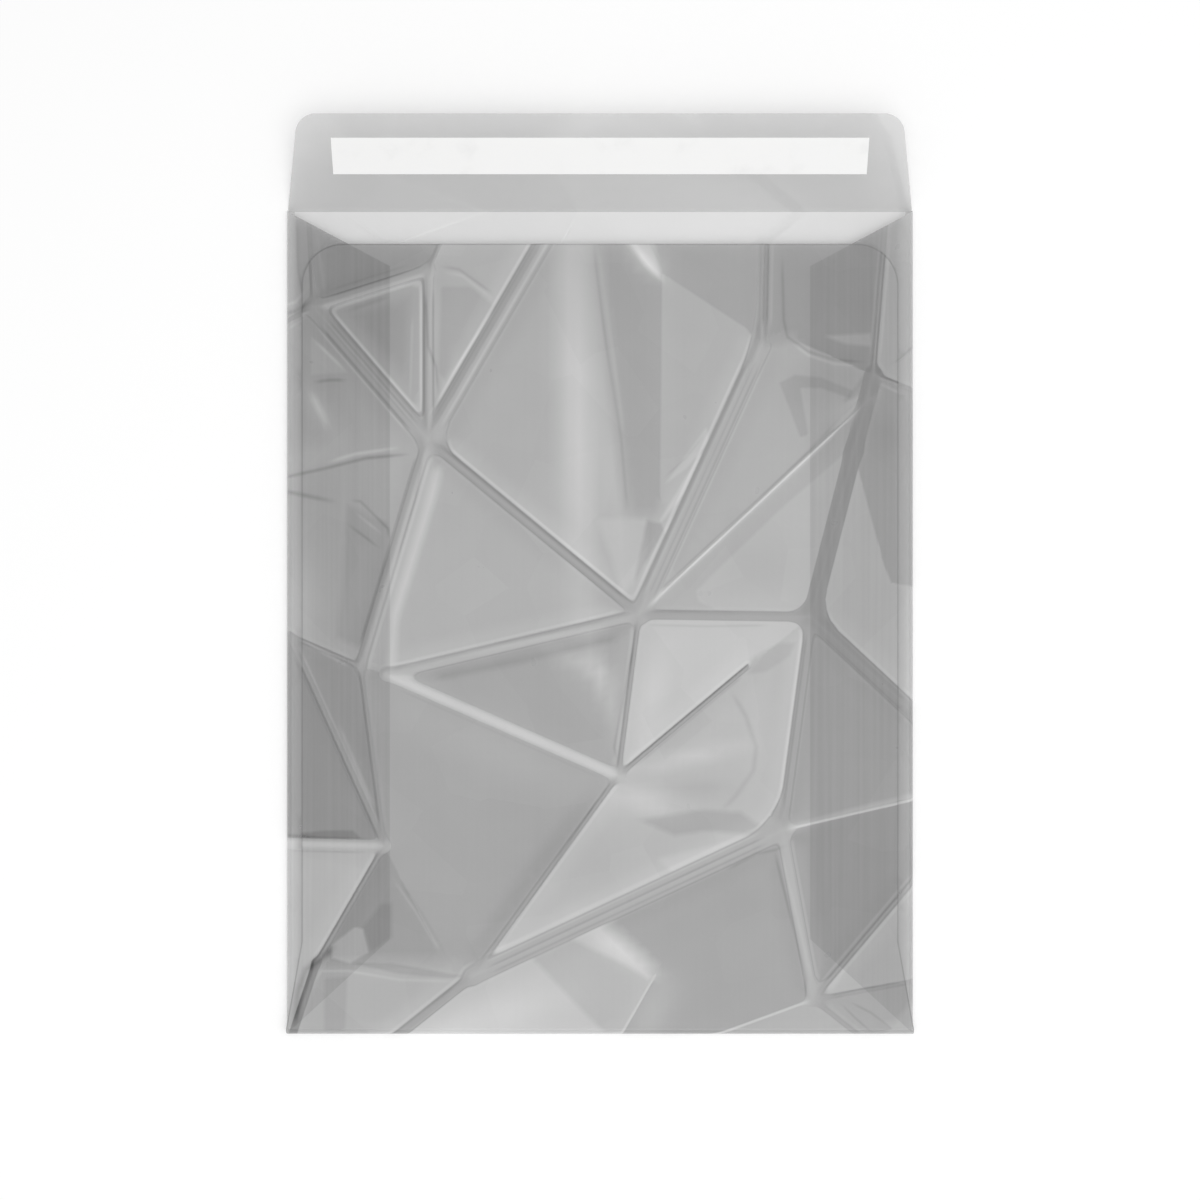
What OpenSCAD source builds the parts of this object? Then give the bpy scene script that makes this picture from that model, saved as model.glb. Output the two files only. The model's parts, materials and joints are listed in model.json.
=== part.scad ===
// Empty catalogue envelope of glassine film, lying on its front with the flap open.
// +Z is up, +X is to the right of the back panel and +Y points to the flap.
// The origin is the centre of the front panel's outer face, which rests on the table.

/* [Envelope] */
// Width across the two side folds
envelope_w = 241.3; // [180:0.1:330]
// Height from the bottom fold to the score of the flap
envelope_h = 317.5; // [230:0.1:450]
// Clear depth inside the empty pocket, which stands a little open
pocket_depth = 4.6; // [4.2:0.1:9]
// Thickness of the film
film_t = 0.12; // [0.08:0.01:0.25]

/* [Back panel] */
// Fall of its top edge below the score of the flap
throat_drop = 13.4; // [8:0.1:40]
// Distance of its side edges from the side folds
back_inset = 6; // [3:0.1:15]
// Radius of its two top corners
back_corner_r = 16; // [4:0.5:30]
// Height at its foot over which it flares out to the full width
back_flare_h = 36; // [10:0.5:60]

/* [Side flaps] */
// Reach of a side flap in from its fold
side_flap_w = 40; // [30:0.5:70]
// Fall of its slanted top end
side_flap_fall = 20; // [5:0.5:40]
// Rise of its slanted bottom end
side_flap_rise = 37; // [10:0.5:60]

/* [Side seams] */
// Width of a line of gum
glue_w = 12; // [5:0.5:20]
// Distance of the gum from the edge of the back panel
glue_edge = 3; // [0.5:0.1:4]
// Thickness of the gum
glue_t = 0.06; // [0.03:0.01:0.2]
// Distance of the ends of the gum from the slanted and rounded ends that it joins
glue_end = 2; // [0:0.5:20]

/* [Seal flap] */
// Length from the crease to the free edge
flap_l = 36; // [34:0.5:90]
// Slant of each side
flap_taper = 10; // [0:0.5:25]
// Radius of its two corners
flap_corner_r = 8.5; // [2:0.5:16]
// Angle at which it stands off the table
flap_tilt = 27; // [10:1:80]
// Gap between the shut flap and the back panel
shut_gap = 0.6; // [0.4:0.05:2]

/* [Closure strip] */
// Distance of the liner from the crease
liner_setback = 13.2; // [4:0.1:16]
// Width of the liner
liner_w = 13.8; // [6:0.1:17]
// Distance of the ends of the liner from the sides of the envelope
liner_end = 18.4; // [12:0.1:60]
// Thickness of the liner
liner_t = 0.08; // [0.04:0.01:0.12]
// Dry margin of liner around the adhesive
dry_margin = 1; // [0.5:0.1:2.5]
// Thickness of the adhesive
adhesive_t = 0.08; // [0.03:0.01:0.15]

/* [Hidden] */

half_w = envelope_w / 2;
score_y = envelope_h / 2;
foot_y = -envelope_h / 2;

// Layers of the pocket, from the table up
side_flap_z = film_t + pocket_depth;
glue_z = side_flap_z + film_t;
back_z = glue_z + glue_t;
pocket_t = back_z + film_t;

// Soft folds, half round from the front panel to the layer that each carries, with the score at mid-height
side_r = glue_z / 2;
bottom_r = pocket_t / 2;
side_tangent_x = half_w - side_r;
foot_tangent_y = foot_y + bottom_r;

// Back panel
throat_y = score_y - throat_drop;
back_edge_x = half_w - back_inset;
flare_y = foot_y + back_flare_h;

// Side flaps and their gum
side_inner_x = half_w - side_flap_w;
side_top_y = score_y - side_flap_fall;
side_foot_y = foot_y + side_flap_rise;
glue_outer_x = back_edge_x - glue_edge;
glue_inner_x = glue_outer_x - glue_w;
slant_share = (side_tangent_x - glue_inner_x) / (side_tangent_x - side_inner_x);
glue_slant_top_y = score_y + (side_top_y - score_y) * slant_share;
glue_slant_foot_y = foot_tangent_y + (side_foot_y - foot_tangent_y) * slant_share;
glue_top_y = min(glue_slant_top_y, throat_y - back_corner_r) - glue_end;
glue_foot_y = max(glue_slant_foot_y, flare_y) + glue_end;

// The flap turns about an axis halfway between the front panel and the shut flap
hinge_z = (pocket_t + shut_gap + film_t) / 2;
flap_corner_y = flap_l - flap_corner_r;
flap_corner_x = half_w - (flap_corner_r + flap_corner_y * sin(flap_taper)) / cos(flap_taper);
liner_half_l = half_w - liner_end;

film_colour = [0.68, 0.68, 0.68, 0.85];
inner_film_colour = [0.80, 0.80, 0.80, 0.85];
gum_colour = [0.85, 0.84, 0.78];
adhesive_colour = [0.90, 0.89, 0.85];
liner_colour = [0.96, 0.96, 0.96];
corner_steps = 16;

// Points of an arc about a centre, both ends included
function arc(centre, r, from, to) = [
    for (i = [0 : corner_steps])
        let (a = from + (to - from) * i / corner_steps)
        centre + r * [cos(a), sin(a)]
];

// A right-hand outline, from foot to top, closed by its mirror image
function both_sides(points) = concat(
    points,
    [for (i = [len(points) - 1 : -1 : 0]) [-points[i].x, points[i].y]]
);

// A flat panel of film with its underside at height z
module film_panel(z, points) {
    translate([0, 0, z])
        linear_extrude(film_t)
            polygon(points);
}

// A strip of film bent round the Z axis, from +X through the given angle
module bent_film(r, length, angle) {
    rotate_extrude(angle = angle)
        translate([r - film_t, -length / 2])
            square([film_t, length]);
}

// A rectangle of the given thickness between two corners
module band(low, high, z, t) {
    translate([low.x, low.y, z])
        cube([high.x - low.x, high.y - low.y, t]);
}

// Places what lies flat on the open flap, where y runs from the crease to the free edge
module on_flap() {
    translate([0, score_y, hinge_z])
        rotate([flap_tilt, 0, 0])
            translate([0, 0, -hinge_z])
                children();
}

module front_panel() {
    color(inner_film_colour)
        film_panel(0, [
            [-side_tangent_x, foot_tangent_y],
            [side_tangent_x, foot_tangent_y],
            [side_tangent_x, score_y],
            [-side_tangent_x, score_y]
        ]);
}

// Half of the right side's soft fold, turned up from the table or over to the side flap
module right_fold_half(turn) {
    fold_l = score_y - foot_tangent_y;
    color(film_colour)
        translate([side_tangent_x, foot_tangent_y + fold_l / 2, side_r])
            rotate([90, 0, 0])
                rotate([0, 0, turn])
                    bent_film(side_r, fold_l, 90);
}

module right_fold_lower() {
    right_fold_half(-90);
}

module right_fold_upper() {
    right_fold_half(0);
}

module left_fold_lower() {
    mirror([1, 0, 0])
        right_fold_lower();
}

module left_fold_upper() {
    mirror([1, 0, 0])
        right_fold_upper();
}

// Half of the soft fold at the foot, turned up from the table or over to the back panel
module bottom_fold_half(turn) {
    color(film_colour)
        translate([0, foot_tangent_y, bottom_r])
            rotate([0, 90, 0])
                rotate([0, 0, turn])
                    bent_film(bottom_r, envelope_w, 90);
}

module bottom_fold_lower() {
    bottom_fold_half(-90);
}

module bottom_fold_upper() {
    bottom_fold_half(180);
}

module right_side_flap() {
    color(film_colour)
        film_panel(side_flap_z, [
            [side_tangent_x, foot_tangent_y],
            [side_tangent_x, score_y],
            [side_inner_x, side_top_y],
            [side_inner_x, side_foot_y]
        ]);
}

module left_side_flap() {
    mirror([1, 0, 0])
        right_side_flap();
}

module back_panel() {
    corner = [back_edge_x - back_corner_r, throat_y - back_corner_r];
    color(film_colour)
        film_panel(back_z, both_sides(concat(
            [[half_w, foot_tangent_y], [back_edge_x, flare_y]],
            arc(corner, back_corner_r, 0, 90)
        )));
}

module right_seam_glue() {
    color(gum_colour)
        band([glue_inner_x, glue_foot_y], [glue_outer_x, glue_top_y], glue_z, glue_t);
}

module left_seam_glue() {
    mirror([1, 0, 0])
        right_seam_glue();
}

module flap_crease() {
    color(inner_film_colour)
        translate([0, score_y, hinge_z])
            rotate([0, 90, 0])
                bent_film(hinge_z, envelope_w, flap_tilt);
}

module seal_flap() {
    color(inner_film_colour)
        on_flap()
            film_panel(0, both_sides(concat(
                [[half_w, 0]],
                arc([flap_corner_x, flap_corner_y], flap_corner_r, flap_taper, 90)
            )));
}

module closure_adhesive() {
    adhesive_half_l = liner_half_l - dry_margin;
    adhesive_y = liner_setback + dry_margin;
    adhesive_w = liner_w - 2 * dry_margin;
    color(adhesive_colour)
        on_flap()
            band([-adhesive_half_l, adhesive_y], [adhesive_half_l, adhesive_y + adhesive_w], film_t, adhesive_t);
}

module release_liner() {
    color(liner_colour)
        on_flap()
            band(
                [-liner_half_l, liner_setback],
                [liner_half_l, liner_setback + liner_w],
                film_t + adhesive_t,
                liner_t
            );
}

front_panel();
left_fold_lower();
left_fold_upper();
right_fold_lower();
right_fold_upper();
bottom_fold_lower();
bottom_fold_upper();
left_side_flap();
right_side_flap();
back_panel();
left_seam_glue();
right_seam_glue();
flap_crease();
seal_flap();
closure_adhesive();
release_liner();
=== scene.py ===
"""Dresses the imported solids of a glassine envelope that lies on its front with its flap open."""

import json
import logging
import math
from collections.abc import Callable
from dataclasses import dataclass, field, replace
from enum import Enum

import bmesh
import bpy
import numpy as np
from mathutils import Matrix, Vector
from mathutils.geometry import delaunay_2d_cdt

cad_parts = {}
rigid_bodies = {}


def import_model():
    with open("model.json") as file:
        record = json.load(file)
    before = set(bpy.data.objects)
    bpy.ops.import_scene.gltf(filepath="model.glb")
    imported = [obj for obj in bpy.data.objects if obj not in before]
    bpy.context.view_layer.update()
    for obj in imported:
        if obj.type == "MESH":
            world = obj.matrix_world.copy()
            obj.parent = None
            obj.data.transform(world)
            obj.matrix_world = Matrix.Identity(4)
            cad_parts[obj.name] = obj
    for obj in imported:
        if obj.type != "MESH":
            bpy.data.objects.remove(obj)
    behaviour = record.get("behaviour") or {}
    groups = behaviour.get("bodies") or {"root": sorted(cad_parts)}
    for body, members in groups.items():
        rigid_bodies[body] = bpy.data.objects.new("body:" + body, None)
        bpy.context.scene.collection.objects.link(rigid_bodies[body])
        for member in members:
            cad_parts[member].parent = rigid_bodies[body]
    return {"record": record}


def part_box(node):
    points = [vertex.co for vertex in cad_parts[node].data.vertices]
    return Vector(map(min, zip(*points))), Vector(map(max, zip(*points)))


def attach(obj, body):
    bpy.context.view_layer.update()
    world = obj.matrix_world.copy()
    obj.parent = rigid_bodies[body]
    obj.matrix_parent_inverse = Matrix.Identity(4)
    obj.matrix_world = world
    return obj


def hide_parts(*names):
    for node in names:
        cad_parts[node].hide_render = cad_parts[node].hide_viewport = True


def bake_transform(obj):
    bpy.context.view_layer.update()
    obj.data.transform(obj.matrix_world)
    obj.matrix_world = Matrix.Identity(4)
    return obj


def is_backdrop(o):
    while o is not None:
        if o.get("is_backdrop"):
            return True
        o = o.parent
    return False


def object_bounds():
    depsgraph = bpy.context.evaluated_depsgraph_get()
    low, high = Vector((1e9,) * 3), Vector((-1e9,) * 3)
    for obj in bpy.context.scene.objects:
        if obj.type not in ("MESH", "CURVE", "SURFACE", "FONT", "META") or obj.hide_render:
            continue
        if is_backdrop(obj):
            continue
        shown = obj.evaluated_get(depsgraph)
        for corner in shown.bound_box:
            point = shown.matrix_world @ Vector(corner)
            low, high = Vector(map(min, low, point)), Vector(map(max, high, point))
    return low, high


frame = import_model()
CAD_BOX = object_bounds()

MM = 0.001
LOG = logging.getLogger("envelope")

Point = tuple[float, float]
PerPoint = Callable[[np.ndarray], np.ndarray]
Zone = Callable[[Vector], bool]

# Rows of faces round a soft fold and round the flap's crease, and cuts round a corner
FOLD_ROWS = 16
HINGE_ROWS = 24
CORNER_CUTS = 12

# Points this near a cut move onto it, points this near each other become one, and faces this thin go
SNAP = 2e-5
WELD = 4e-5
SLIVER = 1e-5

# Numbers that the film's mesh carries for its finish, which paint the light and shade of its facets and
# creases
CARRIED = ("tone", "inset", "reach", "core", "crisp", "facing", "ink", "shade")


# Shader maths


class Value:
    """A number at a shader socket, on which Python's operators add Math nodes."""

    def __init__(self, graph: "Graph", socket: bpy.types.NodeSocket) -> None:
        """Wraps one output socket of a graph."""
        self.graph = graph
        self.socket = socket

    def _math(self, operation: str, *terms: "Value | float") -> "Value":
        """Adds one Math node.

        Args:
            operation: The Math node's operation.
            terms: Its inputs, in order.

        Returns:
            The node's result.
        """
        inputs = {i: term for i, term in enumerate(terms)}
        return self.graph.value("ShaderNodeMath", {"operation": operation}, inputs)

    def __add__(self, other: "Value | float") -> "Value":
        """Sum."""
        return self._math("ADD", self, other)

    __radd__ = __add__

    def __sub__(self, other: "Value | float") -> "Value":
        """Difference."""
        return self._math("SUBTRACT", self, other)

    def __rsub__(self, other: float) -> "Value":
        """Difference from a plain number."""
        return self._math("SUBTRACT", other, self)

    def __mul__(self, other: "Value | float") -> "Value":
        """Product."""
        return self._math("MULTIPLY", self, other)

    __rmul__ = __mul__

    def __abs__(self) -> "Value":
        """Size without sign."""
        return self._math("ABSOLUTE", self)

    def least(self, other: "Value | float") -> "Value":
        """The lesser of two values."""
        return self._math("MINIMUM", self, other)

    def most(self, other: "Value | float") -> "Value":
        """The greater of two values."""
        return self._math("MAXIMUM", self, other)

    def rise(self, low: float, high: float) -> "Value":
        """A smooth step.

        Args:
            low: Where the step starts from 0.
            high: Where it reaches 1.

        Returns:
            The step's value.
        """
        settings = {"interpolation_type": "SMOOTHSTEP"}
        inputs = {"Value": self, "From Min": low, "From Max": high}
        return self.graph.value("ShaderNodeMapRange", settings, inputs)

    def fall(self, low: float, high: float) -> "Value":
        """A smooth step down from 1 at low to 0 at high."""
        return 1 - self.rise(low, high)

    def grey(self) -> bpy.types.NodeSocket:
        """A neutral colour as bright as this value."""
        parts = {"Red": self, "Green": self, "Blue": self}
        return self.graph.node("ShaderNodeCombineColor", {}, parts).outputs[0]


class Graph:
    """The node tree of one material, round one Principled shader."""

    def __init__(self, name: str) -> None:
        """Starts a material with a bare Principled shader."""
        self.material = bpy.data.materials.new(name)
        self.material.use_nodes = True
        self.tree = self.material.node_tree
        self.tree.nodes.clear()
        self.shader = self.node("ShaderNodeBsdfPrincipled", {}, {})
        self.node("ShaderNodeOutputMaterial", {}, {"Surface": self.shader.outputs[0]})

    def node(self, kind: str, settings: dict, inputs: dict) -> bpy.types.Node:
        """Adds a node.

        Args:
            kind: The node's type.
            settings: Its properties, which are set first.
            inputs: Values, links or Values for its sockets, by name or number.

        Returns:
            The node.
        """
        made = self.tree.nodes.new(kind)
        for key, setting in settings.items():
            setattr(made, key, setting)
        self.feed(made, inputs)
        return made

    def value(self, kind: str, settings: dict, inputs: dict, output: str | int = 0) -> Value:
        """Adds a node and wraps one of its outputs."""
        return Value(self, self.node(kind, settings, inputs).outputs[output])

    def feed(self, node: bpy.types.Node, inputs: dict) -> None:
        """Sets or links a node's sockets.

        Args:
            node: The node.
            inputs: Values, links or Values, by socket name or number.
        """
        for key, term in inputs.items():
            if isinstance(term, Value):
                term = term.socket
            if isinstance(term, bpy.types.NodeSocket):
                self.tree.links.new(term, node.inputs[key])
            else:
                node.inputs[key].default_value = term

    def dress(self, **sockets: object) -> bpy.types.Material:
        """Feeds the Principled shader's sockets.

        Args:
            sockets: Socket names with _ for a space, and what feeds them.

        Returns:
            The finished material.
        """
        self.feed(self.shader, {key.replace("_", " "): term for key, term in sockets.items()})
        return self.material

    def attribute(self, name: str) -> Value:
        """A number that the mesh carries."""
        return self.value("ShaderNodeAttribute", {"attribute_name": name}, {}, "Fac")

    def place(self) -> tuple[bpy.types.NodeSocket, Value, Value]:
        """Object coordinates: the vector, then its x and y."""
        vector = self.node("ShaderNodeTexCoord", {}, {}).outputs["Object"]
        parts = self.node("ShaderNodeSeparateXYZ", {}, {0: vector})
        return vector, Value(self, parts.outputs[0]), Value(self, parts.outputs[1])

    def mottle(self, vector: bpy.types.NodeSocket, size: float, detail: float = 2.0) -> Value:
        """Cloudy noise about zero.

        Args:
            vector: Where the noise is read.
            size: Width of a cloud, in metres.
            detail: Finer octaves.

        Returns:
            A value from about -0.5 to 0.5.
        """
        inputs = {"Vector": vector, "Scale": 1 / size, "Detail": detail, "Roughness": 0.5}
        return self.value("ShaderNodeTexNoise", {}, inputs, 0) - 0.5

    def bump(self, height: Value, depth: float) -> bpy.types.NodeSocket:
        """A normal bent by a height.

        Args:
            height: The height, from 0 to 1.
            depth: What a height of 1 stands for, in metres.

        Returns:
            The normal.
        """
        inputs = {"Height": height, "Distance": depth, "Strength": 1.0}
        return self.node("ShaderNodeBump", {}, inputs).outputs[0]


# Sizes


@dataclass(frozen=True)
class Sizes:
    """Sizes of the envelope in metres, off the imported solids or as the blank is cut."""

    half_width: float
    score_y: float
    side_tangent_x: float
    foot_tangent_y: float
    film: float
    side_radius: float
    foot_radius: float
    throat_y: float
    side_inner_x: float
    hinge_z: float
    tilt: float
    flap_length: float
    back_inset: float = 6 * MM
    back_corner: float = 16 * MM
    flare_height: float = 36 * MM
    side_fall: float = 20 * MM
    side_rise: float = 37 * MM
    flap_taper: float = math.radians(10)
    flap_corner: float = 8.5 * MM

    @classmethod
    def from_frame(cls) -> "Sizes":
        """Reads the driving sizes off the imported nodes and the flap's joint."""
        front_low, front_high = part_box("front_panel")
        back_low, back_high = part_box("back_panel")
        side_low, side_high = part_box("right_side_flap")
        joints = {joint["name"]: joint for joint in frame["record"]["behaviour"]["joints"]}
        hinge = joints["flap_fold"]
        tilt = math.radians(-hinge["range_deg"][0])
        hinge_z = hinge["pos_m"][2]
        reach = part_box("seal_flap")[1].y - front_high.y - hinge_z * math.sin(tilt)
        return cls(
            half_width=back_high.x,
            score_y=front_high.y,
            side_tangent_x=front_high.x,
            foot_tangent_y=front_low.y,
            film=front_high.z - front_low.z,
            side_radius=side_high.z / 2,
            foot_radius=back_high.z / 2,
            throat_y=back_high.y,
            side_inner_x=side_low.x,
            hinge_z=hinge_z,
            tilt=tilt,
            flap_length=reach / math.cos(tilt),
        )

    @property
    def foot_y(self) -> float:
        """Height of the bottom fold."""
        return self.foot_tangent_y - self.foot_radius

    @property
    def back_edge_x(self) -> float:
        """Reach of the back panel's side edges."""
        return self.half_width - self.back_inset

    @property
    def flare_y(self) -> float:
        """Where the back panel starts to flare."""
        return self.foot_y + self.flare_height

    @property
    def side_top_y(self) -> float:
        """Inner end of a side flap's slanted top."""
        return self.score_y - self.side_fall

    @property
    def side_foot_y(self) -> float:
        """Inner end of a side flap's slanted foot."""
        return self.foot_y + self.side_rise


@dataclass(frozen=True)
class Fold:
    """A soft fold of film round an axis, met flat at its start."""

    radius: float
    angle: float
    film: float

    @property
    def length(self) -> float:
        """Length of film in the fold."""
        return (self.radius - self.film / 2) * self.angle

    def place(self, run: np.ndarray, out: np.ndarray) -> tuple[np.ndarray, np.ndarray]:
        """Carries film round the fold.

        Args:
            run: Distance along the film from the fold's start.
            out: Distance outside the film's outer face.

        Returns:
            Distance along the flat start, and height above its outer face.
        """
        middle = self.radius - self.film / 2
        turn = np.clip(run / middle, 0, self.angle)
        past = run - turn * middle
        along = (self.radius + out) * np.sin(turn) + past * np.cos(turn)
        up = self.radius - (self.radius + out) * np.cos(turn) + past * np.sin(turn)
        return along, up


# Creases of the film


class CreaseKind(Enum):
    """Sorts of crease: half width and lift in mm, painted tone of its top (highlight on bright kinds, shade
    on dark ones), sharpness of its sides.
    """

    DARK_BAND = (3.4, 0.34, 0.300, 0.8)
    DARK_RIDGE = (1.6, 0.30, 0.280, 0.9)
    BAND = (3.6, 0.34, 0.410, 1.0)
    PLEAT = (2.1, 0.32, 0.435, 1.0)
    RIDGE = (2.0, 0.32, 0.360, 1.0)
    BRIGHT = (2.2, 0.34, 0.590, 0.45)
    FINE = (1.0, 0.18, 0.350, 0.9)
    GLINT = (0.6, 0.12, 0.560, 0.1)
    SOFT = (0.5, 0.0, 0.400, 0.0)
    BLUR = (4.0, 0.0, 0.400, 0.0)

    @property
    def half_width(self) -> float:
        """Half width in mm."""
        return self.value[0]

    @property
    def lift(self) -> float:
        """Height in metres."""
        return self.value[1] * MM

    @property
    def tone(self) -> float:
        """Painted brightness of its top."""
        return self.value[2]

    @property
    def crisp(self) -> float:
        """Sharpness of its sides, from 0 to 1."""
        return self.value[3]

    @property
    def raised(self) -> bool:
        """True if it stands up as a ridge."""
        return self.lift > 0


@dataclass(frozen=True)
class Rows:
    """Rows of points that the mesh gets along a line: its ends and the rows' distances from it, in mm."""

    start: np.ndarray
    end: np.ndarray
    offsets: tuple[float, ...]

    @classmethod
    def along(cls, points: np.ndarray, offsets: tuple[float, ...]) -> "list[Rows]":
        """Rows along each run between points, one point per row."""
        return [cls(a, b, offsets) for a, b in zip(points, points[1:])]


# How strongly the painted highlight on a crease's left flank shines, by the mark between its two junctions
SHINE = {"-": 0.0, "+": 1.0, "*": 1.7}

# How strongly both flanks of a crease without shine take up the painted light and shade
PLAIN_SHINE = 0.4


@dataclass(frozen=True)
class Crease:
    """One straight crease, in mm."""

    start: np.ndarray
    end: np.ndarray
    kind: CreaseKind
    shine: float = 0.0

    @property
    def rows(self) -> Rows:
        """The rows that the mesh needs along it."""
        shares = (-1.5, -1.15, -0.8, -0.4, 0, 0.4, 0.8, 1.15, 1.5) if self.kind.raised else (-1, 1)
        return Rows(self.start, self.end, tuple(share * self.kind.half_width for share in shares))

    def measure(self, spots: np.ndarray) -> tuple[np.ndarray, np.ndarray]:
        """Where points lie from the crease.

        Args:
            spots: Points in mm, one per row.

        Returns:
            Their distance from it, and their direction away from it.
        """
        away = spots - self.start - part_way(spots, self.start, self.end)[:, None] * (self.end - self.start)
        distance = np.linalg.norm(away, axis=1)
        return distance, away / np.maximum(distance, 1e-6)[:, None]

    def facing(self, away: np.ndarray, light: Point) -> np.ndarray:
        """How far a flank faces the light, for the painted light on it; below 0 where it faces away and is
        painted in shade.

        Args:
            away: Directions away from the crease.
            light: Direction of the light in the plan.

        Returns:
            One number per direction.
        """
        if self.shine:
            run = self.end - self.start
            return self.shine * cross(run / np.linalg.norm(run), away)
        return PLAIN_SHINE * (away @ np.array(light))


class Tone(Enum):
    """Painted brightness of a flat facet of creased film, which paints the light and shade that tilted facets
    would catch.
    """

    DARK = 0.315
    DIM = 0.362
    MID = 0.425
    PALE = 0.465
    LIGHT = 0.525


@dataclass(frozen=True)
class PaintedSheen:
    """A soft patch of painted highlight, painted shade where its gain is below 0, as if the film bowed to the
    light or away from it; in mm and degrees.
    """

    x: float
    y: float
    long: float
    short: float
    turn: float
    gain: float

    def at(self, spots: np.ndarray) -> np.ndarray:
        """Painted light added at some points.

        Args:
            spots: Points in mm, one per row.

        Returns:
            One brightness per point.
        """
        c, s = math.cos(math.radians(self.turn)), math.sin(math.radians(self.turn))
        x, y = spots[:, 0] - self.x, spots[:, 1] - self.y
        return self.gain * np.exp(-(((x * c + y * s) / self.long) ** 2) - ((y * c - x * s) / self.short) ** 2)


@dataclass(frozen=True)
class Patch:
    """A patch of painted light on a facet, shade where its gain is below 0 and highlight where above: the
    brightness that it adds, its outline and half its soft edge, in mm.
    """

    gain: float
    outline: tuple[Point, ...]
    soft: float = 0.6

    @property
    def rows(self) -> list[Rows]:
        """The rows that the mesh needs round it."""
        corners = np.array(self.outline + self.outline[:1], float)
        return Rows.along(corners, (-self.soft, self.soft))

    def at(self, spots: np.ndarray) -> np.ndarray:
        """Brightness added at some points.

        Args:
            spots: Points in mm, one per row.

        Returns:
            One brightness per point.
        """
        inside = np.zeros(len(spots), bool)
        away = np.full(len(spots), np.inf)
        x, y = spots.T
        for side in self.rows:
            (ax, ay), (bx, by) = side.start, side.end
            if ay != by:
                inside ^= ((ay > y) != (by > y)) & (x < ax + (bx - ax) * (y - ay) / (by - ay))
            share = part_way(spots, side.start, side.end)[:, None]
            gap = spots - side.start - share * (side.end - side.start)
            away = np.minimum(away, np.linalg.norm(gap, axis=1))
        return self.gain * ease(np.where(inside, away, -away), -self.soft, self.soft)


@dataclass(frozen=True)
class Stroke:
    """A fine line of painted light on the film, a highlight where its gain is above 0 and shade where below:
    the brightness that it adds, its half width and its points, in mm.
    """

    gain: float
    width: float
    points: tuple[Point, ...]

    @property
    def rows(self) -> list[Rows]:
        """The rows that the mesh needs along it."""
        offsets = tuple(share * self.width for share in (-1.5, -0.7, 0, 0.7, 1.5))
        return Rows.along(np.array(self.points, float), offsets)

    def at(self, spots: np.ndarray) -> np.ndarray:
        """Brightness added at some points, which fades out at both ends.

        Args:
            spots: Points in mm, one per row.

        Returns:
            One brightness per point.
        """
        nearest = np.full(len(spots), np.inf)
        along = np.zeros(len(spots))
        walked = 0.0
        for run in self.rows:
            share = part_way(spots, run.start, run.end)
            away = np.linalg.norm(spots - run.start - share[:, None] * (run.end - run.start), axis=1)
            length = math.dist(run.start, run.end)
            along = np.where(away < nearest, walked + share * length, along)
            nearest = np.minimum(nearest, away)
            walked += length
        taper = ease(np.minimum(along, walked - along), 0, min(6.0, 0.35 * walked))
        return self.gain * np.exp(-((nearest / self.width) ** 2)) * taper


@dataclass(frozen=True)
class Web:
    """Film that rounds off a facet's corner: its junction, the far ends of two creases, its radius in mm."""

    corner: str
    first: str
    second: str
    radius: float


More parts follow.
